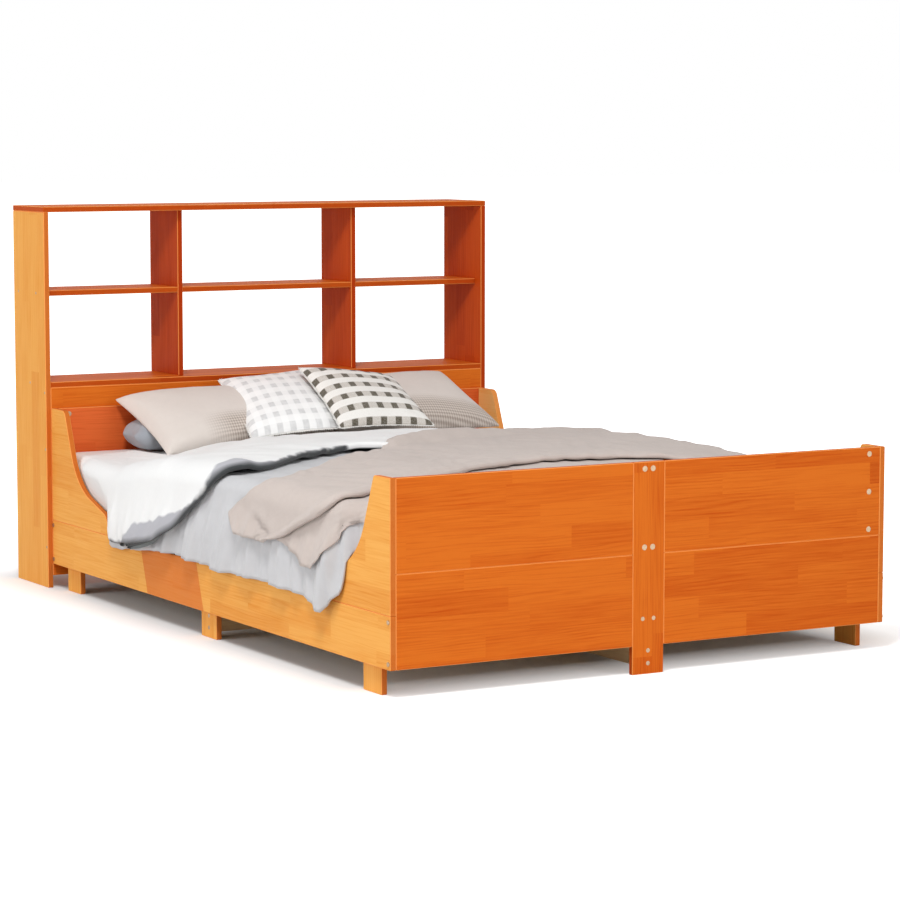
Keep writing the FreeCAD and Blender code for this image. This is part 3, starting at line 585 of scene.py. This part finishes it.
def throw():
    """The throw lies in a fold: its upper layer ends in a rounded edge and runs back under."""
    def lay(u, v):
        if v < THROW_UPPER:
            layer, left = "upper", 0.855
            share = v / THROW_UPPER
        elif v < 1 - THROW_LOWER:
            layer, left = "middle", 0.845
            share = (v - THROW_UPPER) / (1 - THROW_LOWER - THROW_UPPER)
        else:
            layer, share = "lower", (v - 1 + THROW_LOWER) / THROW_LOWER
            left = 0.835 + 0.058 * ease(0.30, 0.95, share)
        s = -left + u * (left + THROW_RIGHT)
        head, fold = between(THROW_HEAD, s), between(THROW_FOLD, s)
        under = UNDER_FOLD * (fold - head)
        if layer == "upper":
            d = head + share * (fold - head)
            lift = 0.022 - 0.012 * ease(0.05, 0.0, share)
            lift += 0.008 * ease(0.10, 0.0, abs(share - 0.93))
            lift += 0.003 * ripple(s * 0.6 + d, d - s, 0.11, 21.0)
            creases = abs(ripple(s * 0.9 + d * 0.45, (d - s) * 0.30, 0.062, 28.0))
            lift -= 0.008 * creases * ease(0.0, 0.1, share)
            lift += 0.006 * ease(-0.80, -0.85, s) * ease(0.30, 0.02, share)
            crease = (s + 0.815 + 0.35 * (d - 1.44)) / 0.008
            lift -= 0.009 * math.exp(-crease * crease) * math.exp(-((d - 1.45) / 0.045) ** 2)
            lift += 0.006 * math.exp(-(crease - 2.2) ** 2) * math.exp(-((d - 1.45) / 0.05) ** 2)
        elif layer == "middle":
            d = fold - share * under
            lift = 0.012 - 0.004 * share
        else:
            start = fold - under
            d = start + share * (between(THROW_END, s) - start)
            lift = 0.007 + 0.002 * ripple(s, d, 0.12, 25.0) + 0.010 * ease(-0.80, -0.90, s)
        full = left if s < 0 else THROW_RIGHT
        return lie(hemmed(s, d, 0.02, full), d, lift + over_turned(s, d))
    thing = cloth("throw_cover", 200, 240, lay, taupe_cloth, 1.76, 2.0, 0.0035)
    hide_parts("throw")
    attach(thing, "root")
    return thing


def mattress():
    bm = bmesh.new()
    cut = bm.loops.layers.uv.new("cut")
    low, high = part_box("mattress")
    bmesh.ops.create_cube(bm, size=1.0)
    bmesh.ops.scale(bm, vec=high - low, verts=bm.verts)
    bmesh.ops.translate(bm, vec=(low + high) / 2, verts=bm.verts)
    upright = [e for e in bm.edges if abs(e.verts[0].co.z - e.verts[1].co.z) > 0.1]
    bmesh.ops.bevel(bm, geom=upright, offset=0.045, offset_type="OFFSET", segments=5, profile=0.5,
                    affect="EDGES", material=-1)
    level = [e for e in bm.edges if e.is_manifold and e.calc_face_angle(0) > 1.2]
    bmesh.ops.bevel(bm, geom=level, offset=0.02, offset_type="OFFSET", segments=4, profile=0.5,
                    affect="EDGES", material=-1)
    for face in bm.faces:
        for loop in face.loops:
            loop[cut].uv = (loop.vert.co.x, loop.vert.co.y + loop.vert.co.z)
    thing = piece("mattress_in_sheet", bm, white_cotton)
    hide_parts("mattress")
    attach(thing, "root")
    return thing


# ------------------------------------------------------------------ cushions

EAR = 0.055             # how far a cushion's sides are drawn in between its corners
SEAM_GAP = 0.008        # between the two panels before they are filled
FILL_STEPS = 20         # frames of the simulation that fills a cushion
THREAD = 0.0035         # from one thread of a fringe to the next, or to the gap beside it


def off_centre(x, y, width, height):
    """How far a point lies from the middle, as shares of the half width and half height."""
    return abs(x) / (width / 2), abs(y) / (height / 2)


def drawn_in(x, y, width, height):
    """A point of the flat cover after filling has drawn its sides in."""
    a, b = off_centre(x, y, width, height)
    return x * (1 - EAR * (1 - b ** 2) * a), y * (1 - 1.3 * EAR * (1 - a ** 2) * b)


def stuffed(name, width, height, thickness, material, seed, fullness=0.5, blunt=3.0):
    """Two panels sewn round their edge and filled: crowned, with drawn-in sides and ears.

    fullness near 0 fills the cushion up to its seams. blunt over 3 makes it a bolster, whose two
    ends are full and round, and which needs no simulation to look so.
    """
    bolster = blunt > 3
    across, along = 46, max(26, int(46 * height / width))
    bm = bmesh.new()
    cut = bm.loops.layers.uv.new("cut")
    bmesh.ops.create_grid(bm, x_segments=across, y_segments=along, size=0.5)
    for face in bm.faces:
        for loop in face.loops:
            loop[cut].uv = ((loop.vert.co.x + 0.5) * width, (loop.vert.co.y + 0.5) * height)
    bmesh.ops.scale(bm, vec=(width, height, 1), verts=bm.verts)
    back = bmesh.ops.duplicate(bm, geom=bm.verts[:] + bm.edges[:] + bm.faces[:])["geom"]
    back_faces = [g for g in back if isinstance(g, bmesh.types.BMFace)]
    back_verts = [g for g in back if isinstance(g, bmesh.types.BMVert)]
    bmesh.ops.reverse_faces(bm, faces=back_faces)
    bmesh.ops.translate(bm, vec=(0, 0, -SEAM_GAP), verts=back_verts)
    bmesh.ops.bridge_loops(bm, edges=[e for e in bm.edges if e.is_boundary])
    seam = bm.verts.layers.deform.verify()
    for vert in bm.verts:
        x, y = vert.co.x, vert.co.y
        side = 1 if vert.co.z > -SEAM_GAP / 2 else -1
        a, b = off_centre(x, y, width, height)
        inside = max(0.0, (1 - a ** blunt) * (1 - b ** 3))
        vert[seam][0] = 1.0 if inside < 1e-5 else 0.0
        puckers = math.exp(-(1 - a) / 0.22) + math.exp(-(1 - b) / 0.22)
        vert.co.z += SEAM_GAP / 2 + side * (thickness - SEAM_GAP) / 2 * inside ** fullness
        vert.co.z += side * 0.006 * inside * puckers * ripple(x, y, 0.035, seed)
        vert.co.z += side * 0.008 * inside * ripple(x, y, 0.10, seed + 3.0)
        vert.co.x, vert.co.y = drawn_in(x, y, width, height)
        if bolster:
            end = max(0.0, (a - 0.80) / 0.20)
            vert.co.y *= math.sqrt(1 - 0.8 * end * end)
    bmesh.ops.recalc_face_normals(bm, faces=bm.faces)
    thing = piece(name, bm, material)
    if not bolster:
        inflate(thing)
        heights = [v.co.z for v in thing.data.vertices]
        to_thickness = thickness / (max(heights) - min(heights))
        thing.data.transform(Matrix.Diagonal((1.0, 1.0, to_thickness, 1.0)))
    soft = thing.modifiers.new("soften", "SUBSURF")
    soft.levels = soft.render_levels = 1
    return thing


def inflate(thing):
    """Fills the cushion by cloth simulation while its seams are held."""
    scene = bpy.context.scene
    thing.vertex_groups.new(name="seam")
    work = thing.modifiers.new("fill", "CLOTH")
    work.settings.vertex_group_mass = "seam"
    work.settings.quality = 6
    work.settings.mass = 0.25
    work.settings.tension_stiffness = 12
    work.settings.compression_stiffness = 6
    work.settings.shear_stiffness = 4
    work.settings.bending_stiffness = 0.25
    work.settings.use_pressure = True
    work.settings.uniform_pressure_force = 4.0
    work.settings.effector_weights.gravity = 0.0
    work.collision_settings.use_collision = False
    work.collision_settings.use_self_collision = False
    scene.frame_start, scene.frame_end = 1, FILL_STEPS
    work.point_cache.frame_start, work.point_cache.frame_end = 1, FILL_STEPS
    for step in range(1, FILL_STEPS + 1):
        scene.frame_set(step)
    filled = thing.evaluated_get(bpy.context.evaluated_depsgraph_get())
    shaped = bpy.data.meshes.new_from_object(filled)
    thing.modifiers.clear()
    old = thing.data
    thing.data = shaped
    bpy.data.meshes.remove(old)
    scene.frame_set(1)


def fringe(name, width, height, length, material, seed):
    """A short fringe round a cushion's seam: a strip whose outer edge is cut into threads."""
    round_seam = 2 * (width + height)
    count = int(round_seam / THREAD)
    # Each side of the seam: its length, the corner where it starts, its way and the way outwards.
    sides = ((width, (-1, -1), (1, 0), (0, -1)), (height, (1, -1), (0, 1), (1, 0)),
             (width, (1, 1), (-1, 0), (0, 1)), (height, (-1, 1), (0, -1), (-1, 0)))
    bm = bmesh.new()
    bmesh.ops.create_grid(bm, x_segments=count, y_segments=2, size=0.5)
    for vert in bm.verts:
        step = round((vert.co.x + 0.5) * count)
        out = vert.co.y + 0.5
        way = step / count * round_seam
        for run, start, along, away in sides:
            if way <= run + 1e-6:
                break
            way -= run
        x = start[0] * width / 2 + along[0] * way
        y = start[1] * height / 2 + along[1] * way
        x, y = drawn_in(x, y, width, height)
        thread = length * (0.25 + 0.75 * (step % 2)) * (1 + 0.4 * ripple(step, 0.0, 2.3, seed))
        reach = -0.003 + out * (thread + 0.003)
        sway = 0.0015 * ripple(step, out, 1.7, seed + 2.0)
        curl = 0.003 * ripple(step, out, 3.1, seed + 5.0) * out
        vert.co = (x + away[0] * reach + sway, y + away[1] * reach, curl)
    thing = piece(name, bm, material)
    body = thing.modifiers.new("thickness", "SOLIDIFY")
    body.thickness = 0.0008
    body.offset = 0.0
    return thing


def settle(thing, size, corners, rest=0.5):
    """Moves a cushion, or its fringe, from its own plane to where its four corners lie.

    The corners are lower left, lower right, upper right and upper left, each as X, distance from
    the bookcase and height. The face that it rests on keeps only a share, rest, of its swelling.
    """
    low_left, low_right, high_right, high_left = [Vector((x, CASE_Y - d, z)) for x, d, z in corners]
    for vert in thing.data.vertices:
        u, v = vert.co.x / size[0] + 0.5, vert.co.y / size[1] + 0.5
        lower, upper = low_left.lerp(low_right, u), high_left.lerp(high_right, u)
        across = (low_right - low_left).lerp(high_right - high_left, v)
        out = across.cross(upper - lower).normalized()
        swelling = vert.co.z * (1.0 if vert.co.z > 0 else rest)
        vert.co = lower.lerp(upper, v) + out * swelling
    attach(thing, "root")


def banded_linen():
    """Plain linen with a ribbed band along the pillow's lower edge."""
    material = cotton("taupe_linen", srgb(222, 213, 206), srgb(188, 177, 168), thread=0.0030)
    finish = Finish.resume(material)
    place = finish.cut()
    arch = finish.math("MULTIPLY", finish.wave(place[0], 2 * 0.58), 0.035)
    height = finish.math("SUBTRACT", place[1], arch)
    band = finish.math("MULTIPLY", finish.ramp(height, 0.090, 0.045),
                       finish.ramp(place[0], 0.14, 0.24))
    ribs, rows = finish.wave(place[0], 0.0085), finish.wave(height, 0.0110)
    knots = finish.ramp(finish.math("ADD", ribs, rows), -1.2, 1.2)
    plain = finish.shader.inputs["Base Color"].links[0].from_socket
    ribbed = finish.mix(knots, srgb(132, 112, 98), srgb(206, 194, 184))
    finish.colour(finish.mix(finish.math("MULTIPLY", band, 0.7), plain, ribbed))
    return material


def gingham():
    """Pale gingham: where two bands cross the tone is fullest, where one runs it is half."""
    finish = Finish("pale_gingham", 0.88, Sheen_Weight=0.18, Specular_IOR_Level=0.2)
    place = finish.cut()
    bands = [finish.ramp(finish.wave(place[0], 0.050), -0.1, 0.3),
             finish.ramp(finish.wave(place[1], 0.053), -0.1, 0.3)]
    cloud = finish.noise(finish.place(), scale=70.0)
    tone = finish.math("MULTIPLY", finish.math("MULTIPLY", finish.math("ADD", bands[0], 0.3),
                                               finish.math("ADD", bands[1], 0.3)), 0.6)
    tone = finish.math("MULTIPLY", tone, finish.ramp(cloud, 0.2, 0.8, 0.55, 1.15))
    finish.colour(finish.mix(tone, srgb(249, 249, 248), srgb(210, 210, 210)))
    finish.bump(finish.noise(finish.place(), scale=160.0), 0.3, 0.0012)
    return finish.material


def black_check():
    """Rows of small dark squares on a pale ground, joined along the rows by half-tone bars."""
    finish = Finish("black_check", 0.88, Sheen_Weight=0.18, Specular_IOR_Level=0.2)
    place = finish.cut()
    columns, rows = finish.wave(place[0], 0.054, "COSINE"), finish.wave(place[1], 0.060, "COSINE")
    squares = finish.math("MULTIPLY", finish.ramp(columns, 0.1, 0.4), finish.ramp(rows, 0.0, 0.3))
    bars = finish.ramp(rows, -0.1, 0.25)
    thread = finish.noise(finish.place(), scale=420.0, detail=2.0)
    ground = finish.mix(finish.ramp(thread, 0.3, 0.7, 0.0, 0.4), srgb(242, 240, 236),
                        srgb(216, 211, 202))
    half = finish.math("MULTIPLY", bars, finish.ramp(thread, 0.3, 0.7, 0.30, 0.60))
    checked = finish.mix(half, ground, srgb(150, 136, 120))
    full = finish.math("MULTIPLY", squares, finish.ramp(thread, 0.3, 0.7, 0.72, 1.0))
    finish.colour(finish.mix(full, checked, srgb(66, 58, 38)))
    finish.bump(thread, 0.2, 0.0004)
    return finish.material


slate_cloth = cotton("slate_cloth", srgb(178, 183, 190), srgb(112, 118, 128), fold_tint=0.5)
fray_cotton = cotton("fray_cotton", srgb(236, 234, 230), srgb(200, 196, 188))


def cushion(name, node, size, thickness, material, seed, corners,
            rest=0.5, fullness=0.5, blunt=3.0):
    """A filled cushion in its place, which stands in for the node."""
    thing = stuffed(name, *size, thickness, material, seed, fullness, blunt)
    settle(thing, size, corners, rest)
    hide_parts(node)


BOLSTER = (0.50, 0.17)
BOLSTER_CORNERS = ((-0.535, 0.200, 0.448), (-0.03, 0.200, 0.448), (-0.03, 0.030, 0.452),
                   (-0.535, 0.030, 0.452))
LEFT_PILLOW = (0.60, 0.36)
LEFT_CORNERS = ((-0.514, 0.345, 0.410), (0.06, 0.345, 0.418), (0.05, 0.03, 0.552),
                (-0.540, 0.03, 0.549))
RIGHT_PILLOW = (0.58, 0.34)
RIGHT_CORNERS = ((0.06, 0.30, 0.432), (0.622, 0.30, 0.436), (0.566, 0.03, 0.583),
                 (0.03, 0.03, 0.560))
GINGHAM_CUSHION = (0.37, 0.37)
GINGHAM_CORNERS = ((-0.271, 0.400, 0.452), (0.040, 0.410, 0.470), (0.085, 0.050, 0.612),
                   (-0.211, 0.055, 0.594))
CHECK_CUSHION = (0.34, 0.34)
CHECK_CORNERS = ((-0.015, 0.462, 0.476), (0.295, 0.462, 0.468), (0.312, 0.170, 0.590),
                 (0.004, 0.160, 0.629))


def bed_soft_goods():
    mattress()
    duvet()
    turned_part()
    throw()
    linen = banded_linen()
    cushion("slate_pillow", "pillow_grey", BOLSTER, 0.094, slate_cloth, 1.0,
            BOLSTER_CORNERS, rest=1.0, blunt=9.0)
    cushion("left_pillow", "pillow_taupe_left", LEFT_PILLOW, 0.155, linen, 2.0,
            LEFT_CORNERS, fullness=0.42)
    cushion("right_pillow", "pillow_taupe_right", RIGHT_PILLOW, 0.135, linen, 3.0,
            RIGHT_CORNERS, fullness=0.42)
    cushion("gingham_cushion", "cushion_gingham", GINGHAM_CUSHION, 0.085,
            gingham(), 4.0, GINGHAM_CORNERS, rest=0.12)
    settle(fringe("gingham_fringe", *GINGHAM_CUSHION, 0.009, fray_cotton, 6.0),
           GINGHAM_CUSHION, GINGHAM_CORNERS)
    cushion("check_cushion", "cushion_check", CHECK_CUSHION, 0.095,
            black_check(), 5.0, CHECK_CORNERS, rest=0.15)
    settle(fringe("check_fringe", *CHECK_CUSHION, 0.008, fray_cotton, 9.0),
           CHECK_CUSHION, CHECK_CORNERS)


bed_soft_goods()

# ------------------------------------------------------------------ stage, lights and camera

AMBIENT = 0.42          # strength of the world's light on the bed
# The patch of floor that keeps the bed's shadow.
SHADE_HALF_WIDTH, SHADE_HALF_LENGTH, SHADE_MIDDLE = 0.68, 1.02, 0.10


def seen_rays(finish):
    """1 for rays that see the floor or backdrop directly, in a gloss or through glass."""
    path = finish.add("LightPath").outputs
    seen = finish.math("MAXIMUM", path["Is Camera Ray"], path["Is Glossy Ray"])
    return finish.math("MAXIMUM", seen, path["Is Transmission Ray"])


def floor():
    """A pale matte floor; away from the bed it turns to the backdrop's white."""
    bm = bmesh.new()
    bmesh.ops.create_grid(bm, x_segments=1, y_segments=1, size=60.0)
    finish = Finish("studio_floor", 0.9, Base_Color=(0.84, 0.84, 0.84, 1), Specular_IOR_Level=0.0)
    place = finish.split(finish.place())
    along = finish.math("SUBTRACT", place[1], SHADE_MIDDLE)

    def past(way, half):
        """How far a place is past the patch, one way."""
        beyond = finish.math("SUBTRACT", finish.math("ABSOLUTE", way), half)
        return finish.math("MAXIMUM", beyond, 0.0)
    squares = [finish.math("POWER", past(place[0], SHADE_HALF_WIDTH), 2.0),
               finish.math("POWER", past(along, SHADE_HALF_LENGTH), 2.0)]
    away = finish.math("SQRT", finish.math("ADD", *squares))
    # Painted light: the glow begins under the bed's edges, so it lightens the bed's shadow there
    # and beside the bed; far off it makes the backdrop's white.
    white = finish.math("ADD", finish.ramp(away, 0.0, 0.23, 0.0, 0.52),
                        finish.ramp(away, 0.2, 1.2, 0.0, 0.6))
    finish.shader.inputs["Emission Color"].default_value = (1, 1, 1, 1)
    shown = finish.math("MULTIPLY", white, seen_rays(finish))
    finish.put(finish.shader.inputs["Emission Strength"], shown)
    piece("floor", bm, finish.material)


def world():
    sky = bpy.data.worlds.new("studio")
    bpy.context.scene.world = sky
    sky.use_nodes = True
    finish = Finish.__new__(Finish)
    finish.tree = sky.node_tree
    back = finish.tree.nodes["Background"]
    back.inputs["Color"].default_value = (1, 1, 1, 1)
    finish.put(back.inputs["Strength"], finish.ramp(seen_rays(finish), 0, 1, AMBIENT, 1.0))


def lamp(name, place, towards, size, power):
    light = bpy.data.lights.new(name, "AREA")
    light.shape = "SQUARE"
    light.size = size
    light.energy = power
    thing = bpy.data.objects.new(name, light)
    bpy.context.scene.collection.objects.link(thing)
    thing.location = place
    thing.rotation_euler = (Vector(towards) - Vector(place)).to_track_quat("-Z", "Y").to_euler()


floor()
world()
lamp("key", (-2.4, -3.0, 4.6), (0, 0, 0.4), 1.2, 165)
lamp("left_fill", (-5.2, 0.5, 1.8), (-0.7, 0, 0.6), 2.4, 66)
lamp("front_fill", (2.2, -5.8, 2.2), (0, -0.6, 0.5), 3.0, 80)

# The photograph's viewing angle: where the camera stands, and how far it looks down and round.
EYE_PLACE = (-4.164244, -7.436628, 1.355354)
EYE_DOWN, EYE_ROUND = 6.0492, -29.7883
eye = bpy.data.cameras.new("eye")
eye.lens = 123.089
eye.sensor_width = 36.0
camera = bpy.data.objects.new("eye", eye)
camera.location = EYE_PLACE
camera.rotation_euler = (math.radians(90 - EYE_DOWN), 0, math.radians(EYE_ROUND))
eye.clip_end = 200.0
bpy.context.scene.collection.objects.link(camera)
bpy.context.scene.camera = camera
bpy.context.scene.view_settings.view_transform = "Standard"
